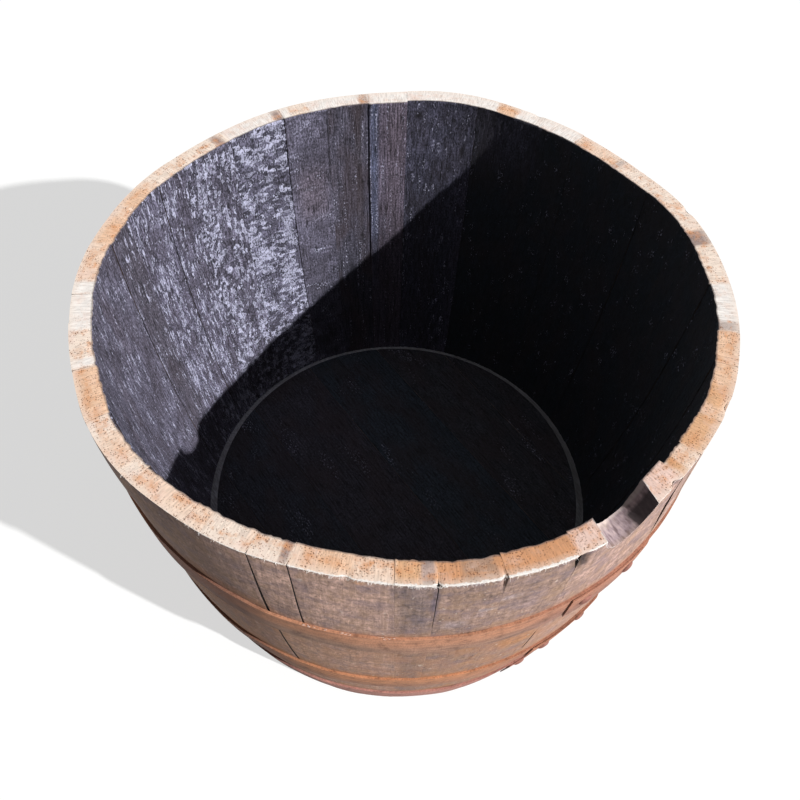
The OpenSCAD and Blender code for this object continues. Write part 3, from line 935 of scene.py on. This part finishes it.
def stave_layout(number, name, sizes, draw):
    """The flat stave as points, quads and attributes."""
    outside_tone, style = STAVES[number][4:]
    start, end, thick = stave_span(name)
    low_x, high_x = start * RIM_R - JOINT_FILL, end * RIM_R + JOINT_FILL
    across = low_x + spaced(high_x - low_x, sizes.column, np.array((0, 0.6, 1.6, 3)) * MM)
    through = np.array((0, 0.03, 0.09, 0.25, 0.42, 0.58, 0.75, 0.91, 0.97, 1))
    inner_z, inner_r = inner_rows(thick, sizes.row)
    outer_z = inner_z.copy()
    near = np.abs(inner_z - HEAD_MID) < 12 * MM
    outer_z[near] = np.linspace(*outer_z[near][[0, -1]], near.sum())
    at, quads, sides = skin((len(across) - 1, len(through) - 1, len(inner_z) - 1))
    i, j, k = at.T
    depth = through[j]
    x, z = across[i], outer_z[k] * (1 - depth) + inner_z[k] * depth
    full = (wall(inner_z) - inner_r)[k]
    y = full * depth

    left, right = i == 0, i == len(across) - 1
    outer, inner = j == 0, j == len(through) - 1
    foot, top = k == 0, k == len(inner_z) - 1
    to_joint, to_inner, to_rim = np.minimum(x - low_x, high_x - x), full - y, RIM_Z - z
    chime = z < HEAD_MID
    side = np.stack((right * 1 - left, inner * ~chime * 1 - outer, top * 1 - foot), 1)
    turn = x / RIM_R

    new_y = y + outer * (drop(to_joint, 0.25 * MM) + drop(to_rim, 0.8 * MM) + drop(z, 1.5 * MM))
    new_y -= inner * (drop(to_joint, 0.25 * MM) + drop(to_rim, 0.5 * MM) + drop(z, 1.5 * MM))
    new_z = z - top * (drop(to_joint, 0.1 * MM) + drop(y, 0.8 * MM) + drop(to_inner, 0.5 * MM))
    new_z += foot * (drop(y, 1.5 * MM) + drop(to_inner, 1.5 * MM))
    new_x = x + (left * 1 - right) * (
        drop(y, 0.25 * MM) + drop(to_inner, 0.25 * MM) + drop(to_rim, 0.15 * MM))
    part = (x - low_x) / (high_x - low_x)
    # Char has broken off the inner edge of the rim in bites about 6 mm long
    bites = np.interp(part, np.linspace(0, 1, 13), draw.uniform(-0.4, 1.5, 13) * MM)
    bites *= np.clip(1 - to_inner / (5 * MM), 0, 1) * (to_rim < 1 * MM)
    new_y -= bites
    new_z -= 0.4 * np.abs(bites)
    for joint, share_near in ((number, 1 - part), ((number + 1) % len(STAVES), part)):
        at_rim, at_foot = LEANS.get(joint, (0, 0))
        new_x += (at_rim + (at_foot - at_rim) * (1 - z / RIM_Z)) * MM * share_near
    for joint, low_gap, high_gap, low, high in OPEN_JOINTS:
        fade = smooth(z, (low - 6) * MM, low * MM) * smooth(z, (high + 15) * MM, high * MM)
        fade *= np.interp(z / MM, (low, high), (low_gap, high_gap)) / 2 * MM
        fade *= np.clip(1 - y / (0.3 * full), 0, 1)
        for own, way, away in ((number, 1, x - low_x), ((number + 1) % len(STAVES), -1, high_x - x)):
            if joint == own:
                new_x += way * fade * np.clip(1 - away / (10 * MM), 0, 1) ** 2
    for *place, deep in CHIPS:
        bite = spot(turn, z, *place, 2) * (1 - depth) ** 3 * deep * MM
        new_y += bite * (outer | top)
        new_z -= 0.5 * bite * top
    fade = smooth(z, EASE_LOW, RIM_Z - 8 * MM)
    new_y -= (rim_ease(turn) + draw.uniform(-0.4, 0.4) * MM) * fade
    new_z -= draw.uniform(0, 0.5) * MM * smooth(z, RIM_Z - 30 * MM, RIM_Z)

    tone = np.tile(linear(OUTSIDE_TONES[outside_tone]), (len(at), 1))
    beside = np.where(x < (low_x + high_x) / 2, number - 1, number + 1) % len(STAVES)
    rims = np.array([rim_tones(n, part[top]) for n in range(len(STAVES))])
    far_rims = np.array([rim_tones(n, 1 - part[top]) for n in range(len(STAVES))])
    near = 0.5 * smooth(to_joint[top], 3 * MM, 0)[:, None]
    row = np.arange(top.sum())
    tone[top] = (1 - near) * rims[number, row] + near * far_rims[beside[top], row]
    near = 0.5 * smooth(to_joint, 9 * MM, 0)[:, None] * (outer & ~top)[:, None]
    outsides = np.array([linear(OUTSIDE_TONES[row[4]]) for row in STAVES])
    tone += near * (outsides[beside] - tone)
    across_mm, along_mm, _, *style_shares, base = CHAR_STYLES[style]
    tone[inner] = linear(base)
    paint(tone, outer & ~top, turn, z, STAINS)
    paint(tone, inner & ~top, turn, z, CHAR_MARKS)
    char = np.tile(style_shares, (len(at), 1))
    cell = np.tile((1 / (across_mm * MM), 0, 1 / (along_mm * MM)), (len(at), 1))
    torn = np.interp(np.degrees(folded(turn)), TORN_TURNS, TORN_LIP) * MM
    zone = np.array((3, 3, 0, 2, 3, 1))[sides]
    zone[(sides == 3) & chime[quads].all(1)] = 3
    return np.stack((new_x, new_y, new_z), 1), quads, {
        "side": side, "inward": to_inner, "calm": smooth(to_joint, 8 * MM, 0),
        "lip": np.where(top, y, np.maximum(to_rim, y)), "torn": torn, "tone": tone, "char": char,
        "cell": cell, "zone": zone}


def lathe(profile, count):
    """A closed turned shape round Z, from radius and height down from one pole to the other."""
    turns = np.arange(count) * 2 * math.pi / count
    points = [(0, 0, profile[0][1])]
    for radius, height in profile[1:-1]:
        points.extend((radius * math.cos(t), radius * math.sin(t), height) for t in turns)
    points.append((0, 0, profile[-1][1]))
    near = 1 + np.arange(count)
    far = 1 + (np.arange(count) + 1) % count
    faces = np.stack((0 * near, near, far), 1).tolist()
    last = (len(profile) - 3) * count
    for up in range(0, last, count):
        faces += np.stack((near + up, near + up + count, far + up + count, far + up), 1).tolist()
    faces += np.stack((far + last, near + last, 0 * near + len(points) - 1), 1).tolist()
    return points, faces


def cut_bung_hole(stave, finish, sizes):
    """Bores the half hole through the wide stave."""
    # The auger reaches well past both faces of the stave, and is a little wider outside
    reach, flare, steps = 40 * MM, 0.5 * MM, 20
    rings = [(sizes.bung_radius + flare * n / steps, -reach + 2 * reach * n / steps)
             for n in range(steps, -1, -1)]
    points, faces = lathe([(0, reach)] + rings + [(0, -reach)], 90)
    points = np.array(points)
    out, along = ways(BUNG_TURN + BUNG_SKEW)
    placed = points[:, 2:] * out + points[:, 1:2] * (0, 0, 1) + points[:, :1] * along
    out, along = ways(BUNG_TURN)
    placed += (RIM_R - STAVE_T / 2) * out + (0, 0, RIM_Z) + BUNG_OFF * along
    auger = new_piece("bung_auger", placed, faces)
    auger.data.materials.append(finish)
    cut = stave.modifiers.new("bung_hole", "BOOLEAN")
    cut.operation, cut.object, cut.solver, cut.material_mode = "DIFFERENCE", auger, "EXACT", "TRANSFER"
    settle(stave)
    discard(auger)


def head_rings():
    """Half section of the head from the middle of its top to the middle of its underside."""
    half, ease = TONGUE_T / 2, 0.4 * MM
    flat_top = [(r, HEAD_TOP) for r in np.linspace(2 * MM, BEVEL_R, 84)]
    slope = [(BEVEL_R + (MOUTH_R - BEVEL_R) * s, HEAD_TOP - (HEAD_TOP - HEAD_MID - half) * s)
             for s in (0.15, 0.5, 0.85)]
    edge = [(r, HEAD_MID + up) for r, up in (
        (MOUTH_R, half), (HEAD_R - ease, half), (HEAD_R, half - ease), (HEAD_R, ease - half),
        (HEAD_R - ease, -half), (MOUTH_R, -half))]
    flat_low = [(r, HEAD_LOW) for r in np.linspace(BEVEL_R, 8 * MM, 22)]
    return [(0, HEAD_TOP)] + flat_top + slope + edge + flat_low + [(0, HEAD_LOW)]


def head_board(name, disc, start, end, number):
    """One board cut from the whole head, with its attributes."""
    across, along = ways(HEAD_TURN)
    work = bmesh.new()
    work.from_mesh(disc)
    first, last = start < -HEAD_R + MM, end > HEAD_R - MM
    for place, way, is_rim in ((start, -1, first), (end, 1, last)):
        if is_rim:
            continue
        # The cut itself, and two rows beside it for the rounded edge
        for inset in (0, 0.7, 1.8):
            bmesh.ops.bisect_plane(
                work, geom=work.verts[:] + work.edges[:] + work.faces[:], dist=TOUCH, clear_outer=inset == 0,
                plane_co=across * (place - way * inset * MM), plane_no=across * (1 if inset else way))
            if inset == 0:
                bmesh.ops.holes_fill(work, edges=[e for e in work.edges if e.is_boundary], sides=0)
    board = new_piece(name, np.empty((0, 3)), [])
    mesh = board.data
    work.to_mesh(mesh)
    work.free()
    count = len(mesh.vertices)
    co = np.zeros(count * 3)
    mesh.vertices.foreach_get("co", co)
    co = co.reshape(-1, 3)
    p, q, away = co @ across, co @ along, np.hypot(co[:, 0], co[:, 1])
    top, low = co[:, 2] > HEAD_TOP - 1e-6, co[:, 2] < HEAD_LOW + 1e-6
    to_joint = np.minimum(np.where(first, 1, p - start), np.where(last, 1, end - p))
    co[:, 2] += (low * 1 - top) * drop(np.abs(to_joint), 1.2 * MM)
    mesh.vertices.foreach_set("co", co.ravel())
    top_face = np.array([f.normal.z for f in mesh.polygons])
    middle = np.array([f.center for f in mesh.polygons])
    out = np.hypot(middle[:, 0], middle[:, 1])
    zone = np.where(top_face > 0.5, 0, np.where(top_face < -0.5, 2, 1))
    zone[out > BEVEL_R] = 1
    gap = np.minimum(np.abs(middle @ across - start), np.abs(middle @ across - end))
    zone[(np.abs(top_face) < 0.3) & (gap < 0.01 * MM)] = 2
    mark(mesh, {
        "pattern": np.stack((p + number * 0.37, co[:, 2], q + number * 1.3), 1),
        "burnt": top * smooth(away, BEVEL_R + 1 * MM, BEVEL_R - 3 * MM),
        "char": np.tile(HEAD_CHAR, (count, 1)), "cell": np.tile(HEAD_CELL, (count, 1)),
        "tone": np.tile(linear(HEAD_TONES[number - 1]), (count, 1)), "zone": zone})
    return board


def head_tree(char, finishes):
    """Chars the top of a head board."""
    tree, given, out = new_tree("Head board", (GEOMETRY, CHAR_DEPTH))
    pattern = add(tree, "vector_field", "pattern")
    burnt = add(tree, "group", pattern, given["Char Depth"], node_tree=char)
    eaten = product(tree, burnt, add(tree, "field", "burnt"), -1.0)
    sunk = add(tree, "join", 0.0, 0.0, eaten)
    shaped = add(tree, "GeometryNodeSetPosition", Geometry=given["Geometry"], Offset=sunk)
    finish_by_zone(tree, shaped, finishes, out)
    return tree


def hoop_layout(name):
    """The flat strip of a hoop: one turn, with its outer end lapped over its inner end."""
    low, width, sprung, upper_tone, lower_tone = STRIPS[name]
    round_r = wall(low * MM)
    lap, step, gap = LAP_LEN / round_r, LAP_STEP / round_r, LAP_END / round_r
    turns = np.linspace(0, 2 * math.pi + lap - gap, 700)
    through = np.array((0, 0.25, 0.75, 1)) * HOOP_T
    up = low * MM + spaced(width * MM, 3 * MM, np.array((0, 0.4, 1.2)) * MM)
    at, quads, _ = skin((len(turns) - 1, len(through) - 1, len(up) - 1))
    i, j, k = at.T
    turn, y, z = turns[i], through[j] - HOOP_T, up[k]
    ends = np.minimum(turn, turns[-1] - turn) * round_r
    rims = np.minimum(z - up[0], up[-1] - z)
    layer = 1 - smooth(turn, lap, lap + step)
    place = y - HOOP_CLEAR - layer * (HOOP_T + LAP_CLEAR)
    place -= sprung * MM * np.clip(1 - turn * round_r / (45 * MM), 0, 1) ** 2
    place += ((j == 0) * 1 - (j == len(through) - 1)) * (drop(ends, 0.4 * MM) + drop(rims, 0.5 * MM))
    # Where no other layer lies under it, the inner face is pressed into the wood
    place[(j == len(through) - 1) & (turn > lap - gap)] = HOOP_BITE
    side = np.stack((0 * y, (j == len(through) - 1) * 1 - (j == 0), (k == len(up) - 1) * 1 - (k == 0)), 1)
    part = smooth((z - up[0]) / (up[-1] - up[0]), 0.15, 0.75)[:, None]
    tone = part * np.array(linear(upper_tone)) + (1 - part) * np.array(linear(lower_tone))
    paint(tone, np.ones(len(at)), turn + LAP_TURN, z, HOOP_MARKS)
    free = (1 - layer) * smooth(turn, lap + step, lap + 3 * step)
    free *= smooth(turn, turns[-1] - lap, turns[-1] - 1.6 * lap)
    return np.stack(((turn + LAP_TURN) * RIM_R, place, z), 1), quads, {
        "side": side, "free": free, "tone": tone, "zone": np.zeros(len(quads))}


def hoop_tree(bend, finish):
    """Pits and dents a flat hoop, then bends it round the staves."""
    tree, given, out = new_tree("Hoop", (
        GEOMETRY, *BENDING, ("Rust Depth", "Float"), ("Dent Depth", "Float"), ("Seed", "Float")))
    flat = add(tree, "GeometryNodeInputPosition")
    side = add(tree, "split", add(tree, "vector_field", "side")).outputs
    shift = add(tree, "vector_scale", (0.0, 3.1, 1.7), given["Seed"])
    place = add(tree, "vector_add", flat, shift)
    outside = add(tree, "less_than", side["Y"], -0.5)
    pit = product(tree, add(tree, "noise", place, 190.0, 3.0), outside, given["Rust Depth"])
    dent = add(tree, "map", add(tree, "noise", place, 14.0, 1.0), 0.4, 0.75)
    dent = product(tree, dent, add(tree, "field", "free"), given["Dent Depth"])
    across = add(tree, "subtract", pit, dent)
    wave = product(tree, add(tree, "noise", place, 40.0, 2.0), side["Z"], -0.6 * MM)
    moved = add(tree, "join", 0.0, across, wave)
    bend_and_finish(tree, given, out, given["Geometry"], flat, moved, bend, (finish,))
    return tree


def scatter_tree(name, finish):
    """Sets a copy of one small shape on each point, facing the point's own way, in random sizes."""
    tree, given, out = new_tree(name, (
        GEOMETRY, ("Shape", "Object"), ("Smallest", "Float"), ("Largest", "Float"), ("Lean", "Float"),
        ("Seed", "Int")))
    shape = add(tree, "GeometryNodeObjectInfo", given["Shape"]).outputs["Geometry"]
    facing = add(tree, "vector_field", "facing")
    turn = add(tree, "FunctionNodeAlignRotationToVector", Vector=facing, axis="Z")
    back = product(tree, given["Lean"], -1.0)
    lean = add(tree, "FunctionNodeRandomValue", Min=back, Max=given["Lean"],
               ID=add(tree, "GeometryNodeInputIndex"), Seed=given["Seed"])
    roll = add(tree, "FunctionNodeRandomValue", Min=0.0, Max=FULL_TURN, Seed=given["Seed"])
    tilt = add(tree, "FunctionNodeEulerToRotation", add(tree, "join", lean, 0.0, roll))
    turn = add(tree, "FunctionNodeRotateRotation", turn, tilt, rotation_space="LOCAL")
    much = add(tree, "FunctionNodeRandomValue", Min=given["Smallest"], Max=given["Largest"],
               Seed=given["Seed"])
    placed = add(tree, "GeometryNodeInstanceOnPoints", Points=given["Geometry"], Instance=shape,
                 Rotation=turn, Scale=much)
    last = add(tree, "GeometryNodeRealizeInstances", placed)
    feed(tree, out, add(tree, "GeometryNodeSetMaterial", Geometry=last, Material=finish))
    return tree


def scatter(name, tree, shape, points, facing, **inputs):
    """Runs a scatter tree on points, and removes the shape that it copied."""
    piece = new_piece(name, points, [], {"facing": facing})
    with_nodes(piece, tree, shape=shape, **inputs)
    discard(shape)
    return piece


# ---------------------------------------------------------------- operators

def bending(sizes):
    """The sizes that bend a flat layout round the barrel."""
    return {"rim_radius": sizes.rim_radius, "bend_radius": sizes.bend_radius, "rim_height": sizes.rim_height}


class PLANTER_OT_staves(bpy.types.Operator):
    """Makes the staves, weathered outside, sawn at the rim and charred inside"""

    bl_idname = "planter.staves"
    bl_label = "Staves"

    def execute(self, context):
        scene = context.scene
        sizes, colours = scene.planter_sizes, scene.planter_colours
        finishes = (weathered_oak(colours), sawn_oak(colours), charred_oak(colours),
                    bare_oak("split_joint_oak", colours.joint_wood, colours.char_deep))
        tree = stave_tree(bend_tree(), char_tree(), finishes)
        draw = np.random.default_rng(SEED)
        names = ["bung_stave"] + [f"stave_{n:02d}" for n in range(2, len(STAVES) + 1)]
        for number, name in enumerate(names):
            deep = CHAR_STYLES[STAVES[number][5]][2]
            made = new_piece(name + "_wood", *stave_layout(number, name, sizes, draw))
            with_nodes(made, tree, **bending(sizes), grain_depth=sizes.grain_depth, saw_depth=sizes.saw_depth,
                       char_depth=deep * MM, seed=float(number + 1))
            if number == 0:
                cut_bung_hole(made, bored_oak(), sizes)
            keep(made, "bung_oak" if number == 0 else "stave_oak", name)
        return {"FINISHED"}


class PLANTER_OT_head(bpy.types.Operator):
    """Makes the boards of the head, charred on top with a bare bevel round them"""

    bl_idname = "planter.head"
    bl_label = "Head"

    def execute(self, context):
        colours = context.scene.planter_colours
        charred = bpy.data.materials["charred_oak"]
        tree = head_tree(bpy.data.node_groups["Char relief"], (
            charred, bare_oak("planed_bevel_oak", colours.bevel_wood, linear("9e9ca0")),
            bare_oak("planed_head_oak", linear("a88f78"), linear("6e5a4b"))))
        disc = new_piece("head_disc", *lathe(head_rings(), 540))
        for number in range(1, 7):
            name = f"head_board_{number:02d}"
            reach = points_of(name) @ ways(HEAD_TURN)[0]
            board = head_board(name + "_wood", disc.data, reach.min(), reach.max(), number)
            with_nodes(board, tree, char_depth=0.7 * MM)
            keep(board, "head_oak", name)
        discard(disc)
        return {"FINISHED"}


class PLANTER_OT_dowels(bpy.types.Operator):
    """Gives the dowels in the head their wood"""

    bl_idname = "planter.dowels"
    bl_label = "Dowels"

    def execute(self, context):
        dowels = CAD_NODES["head_dowels"]
        dowels.data.materials.clear()
        dowels.data.materials.append(dowel_oak(context.scene.planter_colours))
        return {"FINISHED"}


class PLANTER_OT_hoops(bpy.types.Operator):
    """Makes the three rusted hoops"""

    bl_idname = "planter.hoops"
    bl_label = "Hoops"

    def execute(self, context):
        scene = context.scene
        sizes = scene.planter_sizes
        tree = hoop_tree(bpy.data.node_groups["Bend round the barrel"],
                         rusted_steel("rusted_hoop_steel", scene.planter_colours))
        for number, name in enumerate(STRIPS):
            made = new_piece(name + "_strip", *hoop_layout(name))
            with_nodes(made, tree, **bending(sizes), rust_depth=sizes.rust_depth, dent_depth=DENT,
                       seed=float(number))
            keep(made, "hoop_steel", name)
        return {"FINISHED"}


class PLANTER_OT_rivets(bpy.types.Operator):
    """Makes the hammered rivets that close the hoops"""

    bl_idname = "planter.rivets"
    bl_label = "Rivets"

    def execute(self, context):
        tree = scatter_tree("Rivets", rusted_steel("rusted_rivet_steel", context.scene.planter_colours))
        seat = 2 * HOOP_T + LAP_CLEAR + HOOP_CLEAR
        profile = np.array(((0, 2.7), (2.6, 2.6), (4.6, 2.2), (6.2, 1.5), (7.1, 0.7), (7.4, 0.25), (7.1, 0),
                            (3, 0), (3, -3.2), (2.6, -3.4), (0, -3.4))) * MM
        for name, (low, width, *_) in STRIPS.items():
            shape = new_piece("rivet", *lathe(profile.tolist(), 30))
            top, bottom = wall((low + width) * MM), wall(low * MM)
            lean = math.atan((top - bottom) / (width * MM))
            places, facing = [], []
            for along in (RIVET_IN, LAP_LEN - RIVET_IN):
                turn = LAP_TURN + along / bottom
                out = (top + bottom) / 2 + seat
                places.append(around(turn, out, (low + width / 2) * MM))
                facing.append(around(turn, math.cos(lean), -math.sin(lean)))
            made = scatter(name + "_rivet_heads", tree, shape, places, facing,
                           smallest=0.97, largest=1.03, lean=0.03, seed=SEED)
            mark(made.data, {"tone": linear(HOOP_MARKS[0][-1]) * len(made.data.vertices)})
            keep(made, "rivet_steel", name + "_rivets")
        return {"FINISHED"}


class PLANTER_OT_fibres(bpy.types.Operator):
    """Makes the torn fibres that the saw left on the rim's outer edge"""

    bl_idname = "planter.fibres"
    bl_label = "Torn fibres"

    def execute(self, context):
        length = context.scene.planter_sizes.fibre_length
        tree = scatter_tree("Torn fibres", torn_oak(context.scene.planter_colours))
        profile = [(0, length), (0.16 * MM, 0.8 * length), (0.3 * MM, 0.3 * length), (0.22 * MM, 0),
                   (0, -0.3 * MM)]
        shape = new_piece("fibre", *lathe(profile, 4))
        draw = np.random.default_rng(SEED)
        turn = draw.normal(-86, 24, 900)
        turn = np.radians(turn[np.interp(turn, TORN_TURNS, TORN_LIP) > draw.uniform(0.3, 3.6, len(turn))])
        turn = turn[np.abs(turn - BUNG_TURN) * RIM_R > 34 * MM]
        out = RIM_R + rim_ease(turn) - draw.uniform(0.2, 1.2, len(turn)) * MM
        places = around(turn, out, RIM_Z - draw.uniform(0.3, 1.6, len(turn)) * MM)
        sway = turn + draw.normal(0, 0.9, len(turn))
        facing = around(sway, 1, draw.uniform(-0.9, 0.25, len(turn)))
        # A few splinters stand on the upper edge of the bilge hoop
        turn = np.radians(draw.choice(SPLINTER_TURNS, 40) + draw.normal(0, 0.6, 40))
        out = wall(SPLINTER_Z) + draw.uniform(0.2, 1.8, 40) * MM
        places = np.concatenate((places, around(turn, out, SPLINTER_Z)))
        sway = turn + draw.choice((-1.4, 1.4), 40)
        facing = np.concatenate((facing, around(sway, 1, draw.uniform(0, 0.4, 40))))
        made = scatter("rim_fibres", tree, shape, places, facing,
                       smallest=0.2, largest=0.6, lean=0.4, seed=SEED)
        keep(made, "stave_oak")
        return {"FINISHED"}


class PLANTER_OT_studio(bpy.types.Operator):
    """Sets the plain floor, the light and the camera"""

    bl_idname = "planter.studio"
    bl_label = "Studio"

    def execute(self, context):
        scene = context.scene
        studio = scene.planter_studio
        scene.view_settings.view_transform = "Standard"
        self.floor(scene, studio.bounce)
        self.world(scene, studio.fill)

        sun = bpy.data.lights.new("key_light", "SUN")
        sun.energy, sun.angle = studio.key, studio.key_angle
        key = bpy.data.objects.new("key_light", sun)
        way = Vector(around(KEY_TURN, math.cos(KEY_RISE), math.sin(KEY_RISE)))
        key.rotation_euler = way.to_track_quat("Z", "Y").to_euler()
        key.location = way * 3
        scene.collection.objects.link(key)

        lens = bpy.data.cameras.new("photo_view")
        lens.sensor_width, lens.lens = 36, CAMERA_LENS
        camera = bpy.data.objects.new("photo_view", lens)
        right, back = Vector((1, 0, 0)), Vector((0, -math.cos(CAMERA_TILT), math.sin(CAMERA_TILT)))
        up = back.cross(right)
        rolled = Matrix.Rotation(CAMERA_ROLL, 3, back)
        rows = [[way[n] for way in (rolled @ right, rolled @ up, back)] for n in range(3)]
        camera.rotation_euler = Matrix(rows).to_euler()
        camera.location = Vector(CAMERA_AIM) + back * CAMERA_AWAY
        scene.collection.objects.link(camera)
        scene.camera = camera
        return {"FINISHED"}

    def floor(self, scene, bounce):
        """A pale disc that looks white to the camera, shows the shadow and throws back little light."""
        top, low, wide = -1 * MM, -20 * MM, 4.0
        profile = [(0, top), (1.0, top), (wide, top), (wide, low), (0, low)]
        disc = new_piece("floor", *lathe(profile, 64))
        finish, tree = new_finish("studio_floor")
        seen = seen_directly(tree)
        dim = [bounce * part for part in scene.planter_colours.floor[:3]] + [1.0]
        colour_seen = add(tree, "mix", seen, dim, FLOOR_SEEN)
        disc.data.materials.append(settle_finish(
            finish, colour_seen, 0.95, 0.0, Emission_Color=linear("ffffff"),
            Emission_Strength=product(tree, seen, FLOOR_GLOW)))

    def world(self, scene, fill):
        """Even light from all round, and a white background."""
        world = bpy.data.worlds.new("studio")
        scene.world = world
        world.use_nodes = True
        tree = world.node_tree
        strength = add(tree, "map", seen_directly(tree), 0.0, 1.0, fill)
        ground = next(n for n in tree.nodes if n.type == "BACKGROUND")
        feed(tree, ground, linear("ffffff"), strength)


class PLANTER_PT_panel(bpy.types.Panel):
    """The steps that dress the planter, in order"""

    bl_label = "Half-Barrel Planter"
    bl_idname = "PLANTER_PT_panel"
    bl_space_type = "VIEW_3D"
    bl_region_type = "UI"
    bl_category = "Planter"

    def draw(self, context):
        layout = self.layout
        for step in STEPS:
            layout.operator(step.bl_idname)
        for group in SETTINGS:
            holder = getattr(context.scene, group)
            for name in holder.__annotations__:
                layout.prop(holder, name)


STEPS = (PLANTER_OT_studio, PLANTER_OT_staves, PLANTER_OT_head, PLANTER_OT_dowels, PLANTER_OT_hoops,
         PLANTER_OT_rivets, PLANTER_OT_fibres)
SETTINGS = {"planter_sizes": PlanterSizes, "planter_colours": PlanterColours, "planter_studio": PlanterStudio}


def register():
    """Registers the settings, the steps and the panel."""
    for kind in (*SETTINGS.values(), *STEPS, PLANTER_PT_panel):
        bpy.utils.register_class(kind)
    for name, kind in SETTINGS.items():
        setattr(bpy.types.Scene, name, bpy.props.PointerProperty(type=kind))


def unregister():
    """Takes everything that register added away again."""
    for name in SETTINGS:
        delattr(bpy.types.Scene, name)
    for kind in (PLANTER_PT_panel, *reversed(STEPS), *SETTINGS.values()):
        bpy.utils.unregister_class(kind)


def main():
    """Runs every step."""
    register()
    for step in STEPS:
        group, name = step.bl_idname.split(".")
        getattr(getattr(bpy.ops, group), name)()


if __name__ == "__main__":
    main()
